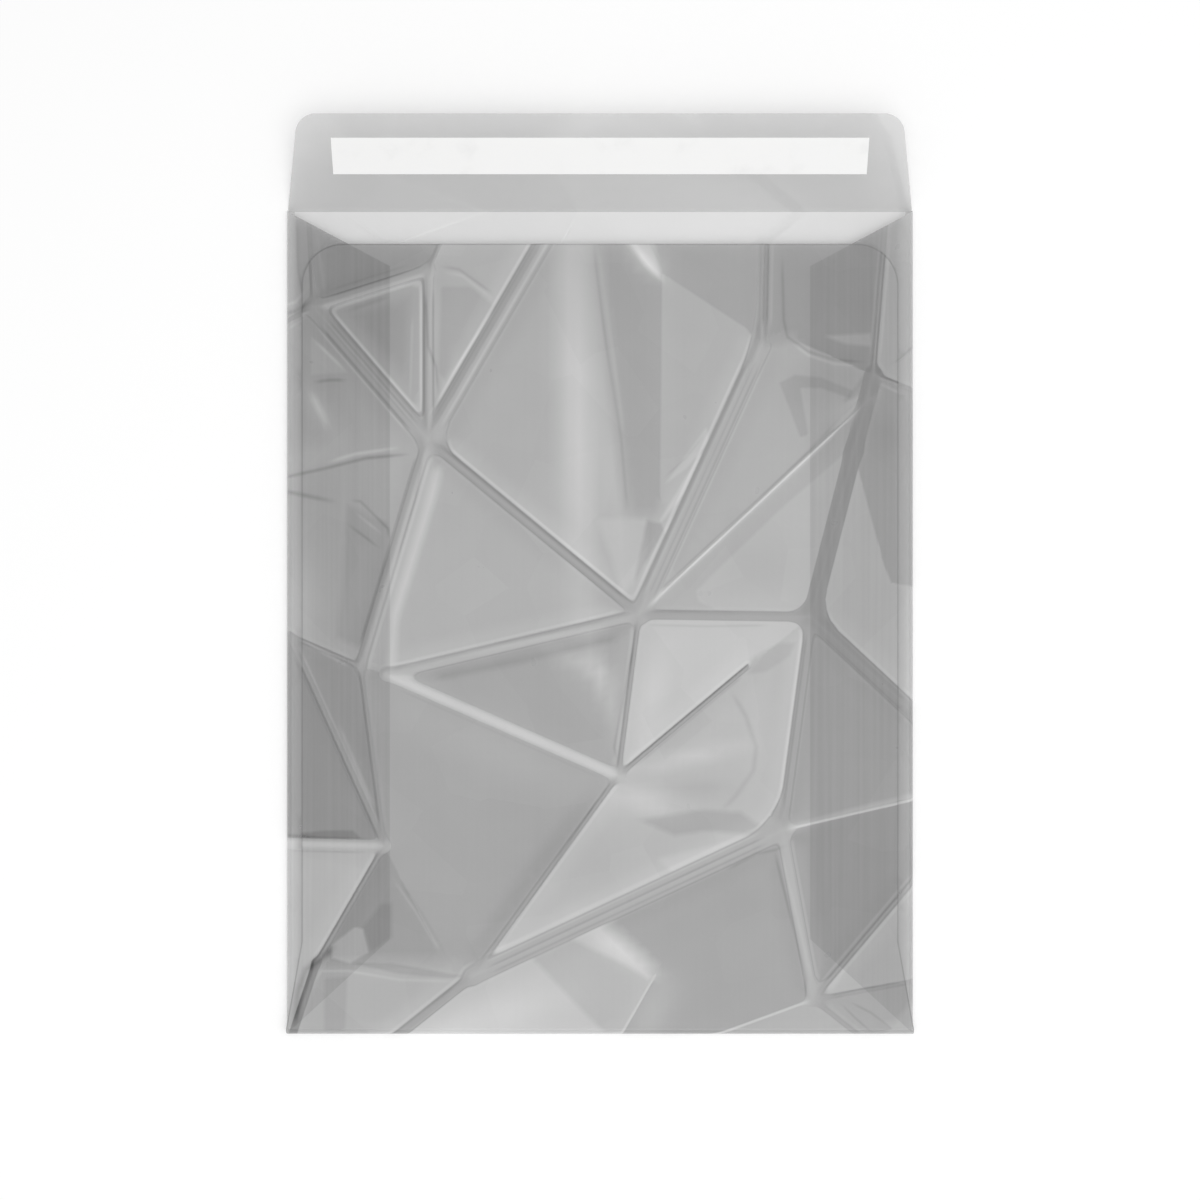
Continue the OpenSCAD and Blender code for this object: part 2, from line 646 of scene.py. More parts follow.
@dataclass
class CreaseNet:
    """The creases of one face of the film, laid out in mm from the panel's centre.

    The layout may be flipped and shifted on the sheet that it creases.
    """

    junctions: dict[str, Point]
    creases: dict[CreaseKind, str]
    bundles: dict[str, list[Point]]
    webs: list[Web]
    facets: dict[Tone, list[Point]]
    patches: list[Patch]
    strokes: list[Stroke]
    painted_sheens: list[PaintedSheen]
    flip: tuple[int, int] = (1, 1)
    shift: float = 0.0
    softness: float = 0.9
    light: Point = (0.85, 0.53)
    hair: float = 0.5
    bundle_end: float = 6.0
    lines: list[Crease] = field(init=False)
    widths: dict[frozenset[str], float] = field(init=False)
    triangles: np.ndarray = field(init=False)
    tones: np.ndarray = field(init=False)
    hairs: list[Stroke] = field(init=False)

    def __post_init__(self) -> None:
        """Draws the creases and finds the tone of each facet between them."""
        places = {name: np.array(xy, float) for name, xy in self.junctions.items()}
        order = {name: i for i, name in enumerate(places)}
        pairs = [(pair, kind) for kind, text in self.creases.items() for pair in text.split()]
        self.lines = [
            Crease(places[pair[:2]], places[pair[3:]], kind, SHINE[pair[2]]) for pair, kind in pairs
        ]
        self.widths = {frozenset((pair[:2], pair[3:])): kind.half_width for pair, kind in pairs}
        edges = [(order[pair[:2]], order[pair[3:]]) for pair, _ in pairs]
        points = [Vector(xy) for xy in places.values()]
        verts, _, faces, _, _, _ = delaunay_2d_cdt(points, edges, [], 0, 1e-5)
        self.triangles = np.array([[verts[i][:] for i in face] for face in faces])
        self.tones = self._facet_tones(verts, faces)
        self.hairs = [
            self._beside(places[pair[:2]], places[pair[3:]], offset, gain)
            for pair, bundle in self.bundles.items()
            for offset, gain in bundle
        ]

    def _beside(self, start: np.ndarray, end: np.ndarray, offset: float, gain: float) -> Stroke:
        """A fine line beside a crease, painted highlight where its gain is above 0 and painted shade where
        below.

        Args:
            start: The crease's start.
            end: Its end.
            offset: The line's distance to the left of the crease.
            gain: Brightness that the line adds.

        Returns:
            The line, which stops short of the crease's ends.
        """
        run = (end - start) / np.linalg.norm(end - start)
        aside = offset * np.array((-run[1], run[0]))
        near, far = start + aside + self.bundle_end * run, end + aside - self.bundle_end * run
        return Stroke(gain, self.hair, (tuple(near), tuple(far)))

    def rows(self) -> list[Rows]:
        """The rows that the mesh needs for all that is laid out."""
        drawn = [row for part in self.patches + self.strokes + self.hairs for row in part.rows]
        return [line.rows for line in self.lines] + drawn

    def plan(self, spot: np.ndarray) -> np.ndarray:
        """Where a point of the layout lies on the sheet."""
        return spot * self.flip + (0, self.shift)

    def own(self, spots: np.ndarray) -> np.ndarray:
        """Points of the layout for points of the sheet."""
        return (spots - (0, self.shift)) * self.flip

    def _facet_tones(self, verts: list, faces: list) -> np.ndarray:
        """Gives every triangle the tone of the facet it is part of.

        Args:
            verts: Points of the triangles.
            faces: Corners of each triangle.

        Returns:
            One tone per triangle.
        """
        group = list(range(len(faces)))

        def root(i: int) -> int:
            """First triangle of the facet that a triangle is joined to."""
            while group[i] != i:
                i = group[i]
            return i

        sides: dict[tuple[int, int], int] = {}
        for i, face in enumerate(faces):
            for a, b in zip(face, face[1:] + face[:1]):
                key = (min(a, b), max(a, b))
                if key in sides and not self._creased((verts[a] + verts[b]) / 2):
                    group[root(i)] = root(sides[key])
                sides[key] = i
        roots = np.array([root(i) for i in range(len(faces))])
        tones = np.full(len(faces), Tone.MID.value)
        for tone, spots in self.facets.items():
            found = self.triangle_at(np.array(spots, float))
            for index in found[found >= 0]:
                tones[roots == roots[index]] = tone.value
        return tones

    def _creased(self, middle: Vector) -> bool:
        """True if a point lies on a crease."""
        spot = np.array(middle[:])[None]
        return any(line.measure(spot)[0][0] < 0.01 for line in self.lines)

    def triangle_at(self, spots: np.ndarray) -> np.ndarray:
        """The triangle that holds each point, or -1.

        Args:
            spots: Points in mm, one per row.

        Returns:
            Triangle numbers.
        """
        found = np.full(len(spots), -1)
        for i, (a, b, c) in enumerate(self.triangles):
            sides = [cross(q - p, spots - p) for p, q in ((a, b), (b, c), (c, a))]
            inside = np.all(np.array(sides) > -1e-6, axis=0)
            found[inside & (found < 0)] = i
        return found

    def facet_tone(self, spots: np.ndarray) -> np.ndarray:
        """Tone of the facets, softened across the blurred lines between them.

        Args:
            spots: Points in mm, one per row.

        Returns:
            One tone per point.
        """
        blur = np.zeros(len(spots))
        for line in self.lines:
            if line.kind is CreaseKind.BLUR:
                distance, width = line.measure(spots)[0], line.kind.half_width
                blur = np.maximum(blur, np.clip(1.5 * width - distance, 0, width))
        tone = self._tone_at(spots)
        near = blur > 0
        total = np.zeros(near.sum())
        turns = 12
        for i in range(turns):
            turn = 2 * math.pi * i / turns
            reach = blur[near] * (0.55 if i % 2 else 1.0)
            total += self._tone_at(spots[near] + np.outer(reach, (math.cos(turn), math.sin(turn))))
        tone[near] = total / turns
        return tone

    def _tone_at(self, spots: np.ndarray) -> np.ndarray:
        """Tone of the facet at each point, without softening."""
        where = self.triangle_at(spots)
        return np.where(where >= 0, self.tones[where], Tone.MID.value)

    def _rounded(self, web: Web, spots: np.ndarray) -> np.ndarray:
        """How far points lie outside the film that rounds off a corner.

        Args:
            web: The corner.
            spots: Points in mm, one per row.

        Returns:
            One distance in mm per point, which is endless for points that the corner doesn't touch.
        """
        names = (web.corner, web.first, web.second)
        corner, *ends = (np.array(self.junctions[name], float) for name in names)
        widths = [self.widths[frozenset((web.corner, name))] for name in names[1:]]
        short = []
        for end, other, width in zip(ends, ends[::-1], widths):
            run = (end - corner) / np.linalg.norm(end - corner)
            side = np.sign(cross(run, other - corner))
            gap = side * cross(run, spots - corner)
            short.append(np.where(gap > 0, web.radius + width - gap, -1))
        touched = (short[0] > 0) & (short[1] > 0)
        deepest = -1.9
        return np.where(touched, np.maximum(web.radius - np.hypot(*short), deepest), np.inf)

    def read(self, sheet_spots: np.ndarray) -> dict[str, np.ndarray]:
        """What the film carries at some points.

        Args:
            sheet_spots: Points of the sheet in mm, one per row.

        Returns:
            Arrays by name: tone of the facet (painted light and shade, with painted sheens and patches),
                inset (mm
            outside the nearest crease's top), reach (0 along the middle of that crease and 1 at its edge),
            core (painted tone of its top), crisp (sharpness of its sides), facing (how far its flank faces
            the light, for its painted light), ink (the painted highlight and shade that fine lines add) and
            lift in metres.
        """
        spots = self.own(sheet_spots)
        keys = ("weight", "width", "core", "crisp", "facing", "lift")
        next_to_nothing = 1e-12
        sums = {key: np.full(len(spots), next_to_nothing) for key in keys}
        for line in self.lines:
            if not line.kind.raised:
                continue
            distance, away = line.measure(spots)
            weight = np.exp((line.kind.half_width - distance) / self.softness)
            sums["weight"] += weight
            sums["width"] += weight * line.kind.half_width
            sums["core"] += weight * line.kind.tone
            sums["crisp"] += weight * line.kind.crisp
            sums["facing"] += weight * line.facing(away, self.light)
            sums["lift"] += weight * line.kind.lift
        total = sums.pop("weight")
        carried = {key: values / total for key, values in sums.items()}
        inset = np.clip(-self.softness * np.log(total), -12, 30)
        width = np.maximum(carried.pop("width"), 0.3)
        foot = 1.15
        carried["lift"] *= np.clip(1 - (np.clip(inset / width + 1, 0, None) / foot) ** 2, 0, None) ** 2
        for web in self.webs:
            inset = np.minimum(inset, self._rounded(web, spots))
        carried["inset"] = inset
        carried["reach"] = np.clip(inset / width + 1, 0, 8)
        carried["tone"] = self.facet_tone(spots) + sum(part.at(spots) for part in self.painted_sheens + self.patches)
        carried["ink"] = sum((part.at(spots) for part in self.strokes + self.hairs), np.zeros(len(spots)))
        return carried


def cross(a: np.ndarray, b: np.ndarray) -> np.ndarray:
    """Cross product of flat vectors."""
    return a[..., 0] * b[..., 1] - a[..., 1] * b[..., 0]


def part_way(spots: np.ndarray, start: np.ndarray, end: np.ndarray) -> np.ndarray:
    """Share of the way from start to end at which each point lies, from 0 to 1."""
    run = end - start
    return np.clip(((spots - start) @ run) / (run @ run), 0, 1)


def ease(values: np.ndarray, low: float, high: float) -> np.ndarray:
    """Smooth step from 0 at low to 1 at high."""
    share = np.clip((values - low) / (high - low), 0, 1)
    return share * share * (3 - 2 * share)


def crease_layout() -> CreaseNet:
    """The creases of the back panel."""
    junctions = {
        "a1": (-112, 156), "a2": (-57, 156), "a3": (-16, 156), "a4": (-2, 156), "a5": (14, 156),
        "a6": (63, 156), "a7": (110, 156),
        "b0": (-126, 113), "b1": (-110, 121), "b2": (-66, 135), "b3": (24, 134), "b4": (56, 113),
        "b5": (62, 106), "b6": (105, 95), "b7": (126, 107), "b8": (126, 87), "b9": (71, 110),
        "c0": (-126, 55), "c1": (-66, 70), "c2": (-38, 122), "c3": (23, 42), "c4": (11, 41),
        "c5": (97.4, 65.5), "c6": (108.5, 24), "c7": (126, 13), "c8": (112, 15), "c9": (79, 70),
        "d0": (-119.5, -5), "d1": (-92, -17), "d2": (15, 3), "d3": (81, 2), "d4": (57, -17),
        "d5": (60, -48), "d8": (-82, -20), "d9": (-126, -3),
        "e0": (-126, -85), "e1": (-83, -86), "e2": (7, -59), "e3": (70, -80), "e4": (126, -40),
        "e5": (126, -67),
        "f1": (-109, -131), "f2": (-49, -136), "f3": (82, -145), "f4": (126, -93),
        "f5": (126, -137), "f6": (-60, -130), "f7": (22, -134), "f8": (-3, -110),
        "g1": (-119, -161), "g2": (-84, -164), "g3": (5, -164), "g4": (30, -164), "g5": (106, -164),
        "h1": (104, 86),
    }
    creases = {
        CreaseKind.DARK_BAND: "d3-c5 c5-b6 d3+e4",
        CreaseKind.DARK_RIDGE: "f1-g1",
        CreaseKind.BAND: "c1+a3 f2+e3 d2+b5 b1*c1",
        CreaseKind.PLEAT: "c1+d1 d8+d2 e3+f3 b2*b1 c1*b2",
        CreaseKind.RIDGE: "c1+d2 b5-a6 d2-d3 e3+d3 g2+f2",
        CreaseKind.BRIGHT: "d8-e2 e1-e0",
        CreaseKind.FINE: "e2+d2 e2+d4 f4+f3 f3-f5 f3-g5 d1-e1 d1-d0 b2-a2 b6-a7 a1-b1 f1+e1 "
        "e1-d0 b1-b0 b6-b8 e2+f2",
        CreaseKind.GLINT: "f3-g4 f7-g3 e3-e5 d2-h1",
        CreaseKind.SOFT: "a5-b3 b3-c3 b3-b4 b4-b5 c5-c6 c6-c8 c8-c7 b2-c2 b9-b6 e1-f6 c1-c0 d1-d8 f2-f1 "
        "b6-b7 d4-d3 h1-b6 d0-d9",
        CreaseKind.BLUR: "a4-c4 c4-c3 c4-d2 b9-c9 d5-d4 d5-e2 f7-f8 f6-f2 f6-f1 b5-b9",
    }
    # Fine lines beside creases, as distance to the left and brightness added: painted highlight where bright,
    # painted shade where dark
    bundles = {
        "c1-a3": [(-2.9, -0.06), (-1.6, 0.06), (0.4, -0.025), (2.2, -0.03), (4.5, 0.05)],
        "b1-c1": [(-4.1, 0.05), (-2.8, -0.11), (-0.6, -0.05), (1.0, -0.07), (2.6, -0.06), (4.0, 0.08)],
        "b1-b2": [(-2.2, 0.06), (-0.9, -0.02), (2.0, -0.06), (4.4, -0.03)],
        "b2-c1": [(-2.7, 0.07), (-1.3, -0.06), (1.9, -0.08)],
        "c1-d2": [(-1.4, -0.03), (1.2, -0.05), (2.9, 0.06)],
        "c1-d1": [(-2.7, -0.10), (0.9, 0.02)],
        "d2-b5": [(-3.9, 0.04), (-2.4, -0.06), (-0.3, -0.05), (1.3, 0.05), (2.6, -0.06), (4.6, 0.04)],
        "b5-a6": [(-3.6, 0.04), (-2.0, -0.07), (-0.5, -0.07), (1.7, 0.05)],
        "d3-e3": [(-2.4, 0.05), (-0.6, -0.06)],
        "d3-e4": [(-2.4, -0.04), (2.4, 0.03)],
        "e1-e0": [(2.7, -0.08), (-2.7, -0.07)],
        "f2-e3": [(-3.0, -0.02), (-1.9, -0.06), (0.5, -0.08), (2.8, 0.05), (5.2, 0.04)],
        "d8-e2": [(-3.6, -0.02), (1.2, 0.02)],
        "f2-g2": [(-1.2, -0.03), (1.3, 0.02)],
        "b6-a7": [(-2.2, 0.05), (1.8, 0.05)],
        "d0-e1": [(1.7, 0.05), (-1.7, -0.04)],
        "f3-f4": [(2.2, 0.06), (0.9, -0.04)],
    }
    webs = [
        Web("c1", "a3", "d2", 9), Web("c1", "d1", "d2", 5), Web("d3", "c5", "e4", 8),
        Web("d3", "c5", "d2", 6), Web("d3", "d2", "e3", 6), Web("e3", "d3", "f2", 12),
        Web("b5", "a6", "d2", 6), Web("b1", "b2", "c1", 3), Web("d8", "d2", "e2", 4),
        Web("f3", "e3", "f4", 5), Web("c1", "b1", "b2", 3), Web("d2", "e2", "d3", 4),
    ]
    facets = {
        Tone.DARK: [(92, 128), (-106, -45), (-95, -50), (-85, -115), (95, -92)],
        Tone.DIM: [
            (-92, 141), (12, 100), (45, 135), (115, 50), (95, -60), (-20, -22), (50, -108), (-40, -90),
            (-90, 110), (100, -150),
        ],
        Tone.PALE: [(85, 40), (105, -5), (0, -90), (60, -60), (40, -40), (-45, 140)],
        Tone.LIGHT: [(30, -15), (-100, -100), (-40, -150)],
    }
    patches = [
        Patch(-0.045, ((-61, 129), (-50, 129), (-41, 122), (-59, 92), (-62, 96)), 0.8),
        Patch(0.060, ((25, 53), (41, 75), (42, 69), (33, 59))),
        Patch(0.080, ((23, 39), (38, 64), (41, 66), (26, 32))),
        Patch(-0.090, ((18, 39), (23, 38), (34, 51), (13, 15)), 0.8),
        Patch(
            -0.055,
            ((69, 92), (75, 95), (85, 94), (97, 89), (96, 86), (85, 90), (77, 90), (80, 72), (77, 71)),
        ),
        Patch(-0.045, ((17, 4), (100, 86), (93, 64), (70, 44), (46, 21), (37, 12), (38, 8), (44, 5)), 0.7),
        Patch(0.080, ((86, 110), (104, 111), (104, 106), (94, 107)), 0.8),
        Patch(-0.050, ((56, -20), (59, -13), (69, -8), (75, -8), (73, -13), (64, -19)), 0.8),
        Patch(-0.085, ((15, -76), (39, -72), (54, -73), (61, -78), (59, -82), (42, -80), (29, -82)), 1.2),
        Patch(0.110, ((-94, -117), (-91, -118), (-89, -127), (-96, -131), (-103, -129), (-103, -124))),
        Patch(0.040, ((22, -91), (59, -82), (66, -84), (28, -96)), 1.0),
        Patch(-0.080, ((-115, -81), (-104, -80), (-95, -80), (-92, -83), (-115, -83))),
        Patch(-0.065, ((-96, -131), (-80, -131), (-58, -135), (-51, -136), (-58, -137), (-78, -135))),
        Patch(-0.050, ((-106, -137), (-97, -136), (-98, -157), (-106, -157)), 0.8),
        Patch(-0.060, ((93, 84), (103, 97), (107, 97), (108, 90), (104, 89)), 0.8),
        Patch(0.080, ((88, 73), (93, 79), (103, 88), (104, 86), (96, 78))),
        Patch(-0.055, ((-97, 45), (-82, 38), (-82, 10), (-92, -10), (-101, -6)), 1.5),
        Patch(
            -0.075,
            ((-27, -128), (-9, -147), (2, -158), (9, -157), (20, -138), (10, -132), (-4, -125), (-14, -120)),
            1.2,
        ),
        Patch(-0.050, ((-84, -108), (-80, -108), (-80, -121), (-88, -127), (-91, -117)), 1.0),
        Patch(0.050, ((-1, 40), (18, 40), (17, 21), (9, 11)), 1.5),
        Patch(0.040, ((-111, 110), (-97, 96), (-111, 95))),
        Patch(0.110, ((11, 147), (20.5, 147), (24, 131.5), (17.5, 137)), 1.2),
    ]
    strokes = [
        Stroke(-0.06, 0.6, ((-62, 137), (-54, 135.5), (-40, 125.5))),
        Stroke(0.05, 0.7, ((-60, 134.6), (-53, 133.2), (-41, 124))),
        Stroke(-0.07, 0.6, ((-67, 127), (-66, 106), (-63, 98), (-62, 87))),
        Stroke(0.06, 0.7, ((-60, 91), (-50, 106), (-40, 121))),
        Stroke(-0.06, 0.9, ((-99, 119), (-80, 125.5))),
        Stroke(0.05, 0.6, ((-72, 119), (-73, 85))),
        Stroke(0.10, 0.7, ((-110.5, 109), (-97, 96))),
        Stroke(-0.10, 0.7, ((-111, 92), (-104, 93), (-96, 93))),
        Stroke(0.11, 1.4, ((-112, 90), (-104, 74))),
        Stroke(0.04, 0.8, ((-109, 152), (-106, 126))),
        Stroke(-0.045, 0.7, ((-2.6, 144), (2, 109), (8, 71), (10.5, 42))),
        Stroke(0.03, 0.8, ((-0.6, 144), (4, 109), (9.5, 72))),
        Stroke(0.13, 1.6, ((9, 149), (17, 139.5), (25, 130))),
        Stroke(-0.05, 0.5, ((18, 148), (24, 136))),
        Stroke(-0.06, 0.6, ((70, 140), (70.6, 116), (72, 109.6), (80, 104), (90, 100.8), (103, 99.8))),
        Stroke(0.06, 0.6, ((73, 108), (80, 102.6), (90, 99.2), (100, 98.4))),
        Stroke(0.07, 0.6, ((107, 92), (117, 87))),
        Stroke(-0.10, 0.7, ((-124, 55), (-106, 59), (-90, 63), (-73, 64.6))),
        Stroke(0.09, 0.7, ((-106, 61), (-94, 64.6), (-77, 67))),
        Stroke(-0.11, 0.9, ((-124, 51), (-101, 46))),
        Stroke(-0.10, 0.6, ((-97, 47), (-92, 46.4), (-81.5, 36), (-80.5, 30))),
        Stroke(-0.10, 0.6, ((-98, 38.5), (-84, 28))),
        Stroke(0.08, 0.6, ((-95, 43), (-83, 33))),
        Stroke(0.11, 2.0, ((-61, 62), (-66, 43.6), (-78.6, 3), (-80.5, -20))),
        Stroke(-0.05, 0.7, ((-68, 64), (-71, 47), (-78, 24))),
        Stroke(0.08, 0.7, ((-116, -6), (-96, -17.5))),
        Stroke(0.08, 0.8, ((-101, -38), (-86.5, -72))),
        Stroke(0.05, 1.2, ((-80, -17.5), (-40, -9.5), (4, -1.5))),
        Stroke(-0.06, 1.6, ((-66, -22), (-30, -14.5), (8, -5.5))),
        Stroke(-0.06, 0.6, ((13, -8), (5.5, -48), (7, -55))),
        Stroke(-0.06, 0.45, ((10, -55), (56, -17))),
        Stroke(-0.06, 0.45, ((12.5, -56.5), (57, -19))),
        Stroke(-0.05, 1.0, ((50, -26), (56, -36), (60, -48), (59, -57), (52, -67), (46, -73))),
        Stroke(-0.05, 0.45, ((24, 55), (33, 63), (41, 73))),
        Stroke(0.10, 0.9, ((17.4, 4.8), (92, 74.4))),
        Stroke(-0.07, 0.5, ((21.4, 10.8), (84, 69))),
        Stroke(-0.05, 0.5, ((16, -1), (40, -1.6), (66, -1.2))),
        Stroke(0.08, 1.2, ((70, -80), (95, -73), (126, -65.5))),
        Stroke(-0.05, 0.6, ((48, -95.5), (60, -89), (67.5, -87.5), (73, -85))),
        Stroke(-0.07, 0.6, ((67, -88), (74.7, -119), (79, -137), (79, -146))),
        Stroke(0.04, 0.7, ((69.5, -88), (77, -119), (81.5, -138))),
        Stroke(-0.06, 0.5, ((86, -144), (100, -141), (118, -138))),
        Stroke(-0.05, 0.5, ((92, -146), (98, -152), (106, -159))),
        Stroke(-0.05, 0.5, ((95, -145.5), (104, -150), (112, -156))),
        Stroke(0.045, 0.6, ((-80, -98), (-71, -111), (-61, -128))),
        Stroke(-0.03, 0.7, ((-78, -98), (-69, -111), (-59, -128))),
        Stroke(0.06, 0.6, ((-111, -140), (-107, -134), (-97, -134), (-77, -137.4), (-57, -138))),
        Stroke(-0.05, 0.5, ((-40, -127), (-20, -97), (0, -67))),
        Stroke(-0.10, 0.9, ((-124, 118), (-117, 119.5), (-110, 124))),
        Stroke(-0.09, 0.6, ((-116.5, 158), (-116, 135), (-114, 124))),
        Stroke(0.08, 0.7, ((-124, 121), (-117, 123), (-113, 128))),
        Stroke(-0.09, 0.6, ((112, 98.5), (124, 109))),
        Stroke(-0.08, 0.6, ((-124, -82), (-110, -82.2))),
        Stroke(0.06, 0.6, ((-121, 112), (-113, 117))),
        Stroke(-0.14, 1.3, ((-101, -123), (-107, -129.5), (-113, -133.5), (-116, -142), (-117.8, -157))),
    ]
    painted_sheens = [
        PaintedSheen(-9, 84, 75, 7, 92, 0.17), PaintedSheen(4, 60, 40, 4, -82, 0.05), PaintedSheen(18, 139, 8, 4, -45, 0.08),
        PaintedSheen(1, -24, 14, 3.4, -72, 0.11), PaintedSheen(-7, -16, 14, 3.6, -25, 0.08),
        PaintedSheen(20, -28, 16, 6, 78, 0.06), PaintedSheen(18, -69, 12, 5, -15, 0.11), PaintedSheen(34, -52, 20, 3, 12, 0.09),
        PaintedSheen(38, -64, 12, 4, 0, -0.05), PaintedSheen(8, -126, 15, 4, -35, 0.12),
        PaintedSheen(-46, -153, 34, 8, 15, 0.09), PaintedSheen(20, -150, 14, 7, 60, 0.07),
        PaintedSheen(-107, 80, 12, 4, -60, 0.06), PaintedSheen(100, 86, 9, 3, 35, 0.07), PaintedSheen(74, -79, 10, 3, 12, 0.04),
        PaintedSheen(-64, 118, 14, 4, 90, 0.03), PaintedSheen(-28, -99, 42, 4, 54, -0.035),
        PaintedSheen(-40, -48, 44, 9, -24, 0.035), PaintedSheen(60, -40, 28, 5, 83, 0.02), PaintedSheen(25, 95, 50, 5, 90, 0.02),
        PaintedSheen(-113, 10, 20, 5, 90, 0.08), PaintedSheen(0, -90, 22, 14, 20, -0.03),
        PaintedSheen(50, -105, 16, 14, 0, -0.02), PaintedSheen(-110, 64, 10, 5, 15, 0.06),
        PaintedSheen(84, 92, 16, 12, 0, -0.045), PaintedSheen(60, 20, 16, 10, 0, -0.03), PaintedSheen(18, 141, 9, 5, -45, 0.05),
        PaintedSheen(88, 70, 8, 5, 60, -0.04), PaintedSheen(109, 72, 9, 6, 90, -0.035),
    ]
    return CreaseNet(junctions, creases, bundles, webs, facets, patches, strokes, painted_sheens)


# Workbench


def deselect() -> None:
    """Deselects every object."""
    bpy.ops.object.select_all(action="DESELECT")


def grid(name: str, low: Point, high: Point, spacing: float) -> bpy.types.Object:
    """Adds a flat grid of faces.

    Args:
        name: The object's name.
        low: Its lowest corner.
        high: Its highest corner.
        spacing: About how wide a face is.

    Returns:
        The grid, with its place in its mesh.
    """
    deselect()
    width, height = high[0] - low[0], high[1] - low[1]
    bpy.ops.mesh.primitive_grid_add(
        x_subdivisions=max(1, round(width / spacing)),
        y_subdivisions=max(1, round(height / spacing)),
        size=1,
        location=((low[0] + high[0]) / 2, (low[1] + high[1]) / 2, 0),
    )
    made = bpy.context.active_object
    made.name = made.data.name = name
    bpy.ops.transform.resize(value=(width, height, 1))
    bpy.ops.object.transform_apply(location=True, rotation=True, scale=True)
    return made


def everywhere(spot: Vector) -> bool:
    """True at every point."""
    return True


def choose(sheet: bpy.types.Object, zone: Zone) -> bool:
    """Selects the faces whose middle lies in a zone.

    Args:
        sheet: The sheet, in edit mode.
        zone: The zone.

    Returns:
        True if there are any.
    """
    bpy.ops.mesh.select_all(action="DESELECT")
    mesh = bmesh.from_edit_mesh(sheet.data)
    chosen = [face for face in mesh.faces if zone(face.calc_center_median())]
    for face in chosen:
        face.select_set(True)
    bmesh.update_edit_mesh(sheet.data)
    return bool(chosen)


def cut(
    sheet: bpy.types.Object, point: Point, normal: Point, trim: bool, zone: Zone = everywhere
) -> None:
    """Cuts a flat sheet along a straight line.

    Args:
        sheet: The sheet.
        point: A point of the line.
        normal: Direction square to the line.
        trim: True to take away what lies on the normal's side.
        zone: Keeps the cut to the faces whose middle lies in it.
    """
    start, away = Vector((*point, 0)), Vector((*normal, 0))
    bpy.context.view_layer.objects.active = sheet
    bpy.ops.object.mode_set(mode="EDIT")
    if choose(sheet, zone):
        bpy.ops.mesh.bisect(plane_co=start, plane_no=away, threshold=1e-6)
        if trim and choose(sheet, lambda c: zone(c) and (c - start).dot(away) > 0):
            bpy.ops.mesh.delete(type="FACE")
    bpy.ops.object.mode_set(mode="OBJECT")


def score(sheet: bpy.types.Object, net: CreaseNet) -> None:
    """Scores a flat sheet along all the rows of its creases, so that its mesh follows them.

    Args:
        sheet: The sheet.
        net: The creases.
    """
    mesh = bmesh.new()
    mesh.from_mesh(sheet.data)
    size = 12 * MM
    cells: dict[tuple[int, int], set[bmesh.types.BMFace]] = {}

    def cell(spot: Vector) -> tuple[int, int]:
        """The cell of a coarse grid that holds a point."""
        return math.floor(spot.x / size), math.floor(spot.y / size)

    def file(faces: list[bmesh.types.BMFace]) -> None:
        """Files faces under their cells, so that those near a line are found fast."""
        for face in faces:
            cells.setdefault(cell(face.calc_center_bounds()), set()).add(face)

    file(list(mesh.faces))
    for row in net.rows():
        a, b = (Vector((*net.plan(end), 0)) * MM for end in (row.start, row.end))
        middle, half = (a + b) / 2, (b - a).length / 2
        run = (b - a).normalized()
        square = Vector((-run.y, run.x, 0))
        margin = max(row.offsets) * MM + 3.5 * MM
        steps = math.ceil(2 * half / size) + 2
        crossed = {cell(a - margin * run + (b - a + 2 * margin * run) * i / steps) for i in range(steps + 1)}
        around = {(x + i, y + j) for x, y in crossed for i in (-1, 0, 1) for j in (-1, 0, 1)}
        near = []
        for face in set().union(*(cells.get(key, set()) for key in around)):
            offset = face.calc_center_bounds() - middle
            if abs(offset.dot(square)) < margin and abs(offset.dot(run)) < half + margin:
                near.append(face)
        if not near:
            continue
        for offset in row.offsets:
            parts = set(near)
            for face in near:
                parts.update(face.edges)
                parts.update(face.verts)
            result = bmesh.ops.bisect_plane(
                mesh,
                geom=list(parts),
                dist=SNAP,
                plane_co=a + square * (offset * MM),
                plane_no=square,
            )
            near = [part for part in result["geom"] if isinstance(part, bmesh.types.BMFace)]
        file(near)
    bmesh.ops.remove_doubles(mesh, verts=mesh.verts, dist=WELD)
    bmesh.ops.dissolve_degenerate(mesh, edges=mesh.edges, dist=SLIVER)
    bmesh.ops.triangulate(mesh, faces=[face for face in mesh.faces if len(face.verts) > 4])
    mesh.to_mesh(sheet.data)
    mesh.free()


def coordinates(piece: bpy.types.Object) -> np.ndarray:
    """A piece's points, one per row."""
    flat = np.empty(3 * len(piece.data.vertices))
    piece.data.vertices.foreach_get("co", flat)
    return flat.reshape(-1, 3)


def move_points(piece: bpy.types.Object, places: np.ndarray) -> None:
    """Puts a piece's points at new places, one per row."""
    piece.data.vertices.foreach_set("co", places.ravel())
    piece.data.update()


def write_attribute(piece: bpy.types.Object, name: str, values: np.ndarray) -> None:
    """Stores a number on each point of a piece."""
    layer = piece.data.attributes.new(name, "FLOAT", "POINT")
    layer.data.foreach_set("value", np.asarray(values, np.float32))


def thicken(piece: bpy.types.Object, film: float) -> None:
    """Gives a sheet its thickness, inwards from its outer face.

    Args:
        piece: The sheet.
        film: Its thickness.
    """
    bpy.context.view_layer.objects.active = piece
    solid = piece.modifiers.new("film", "SOLIDIFY")
    solid.thickness = film
    solid.offset = -1
    solid.material_offset = 1
    bpy.ops.object.modifier_apply(modifier=solid.name)


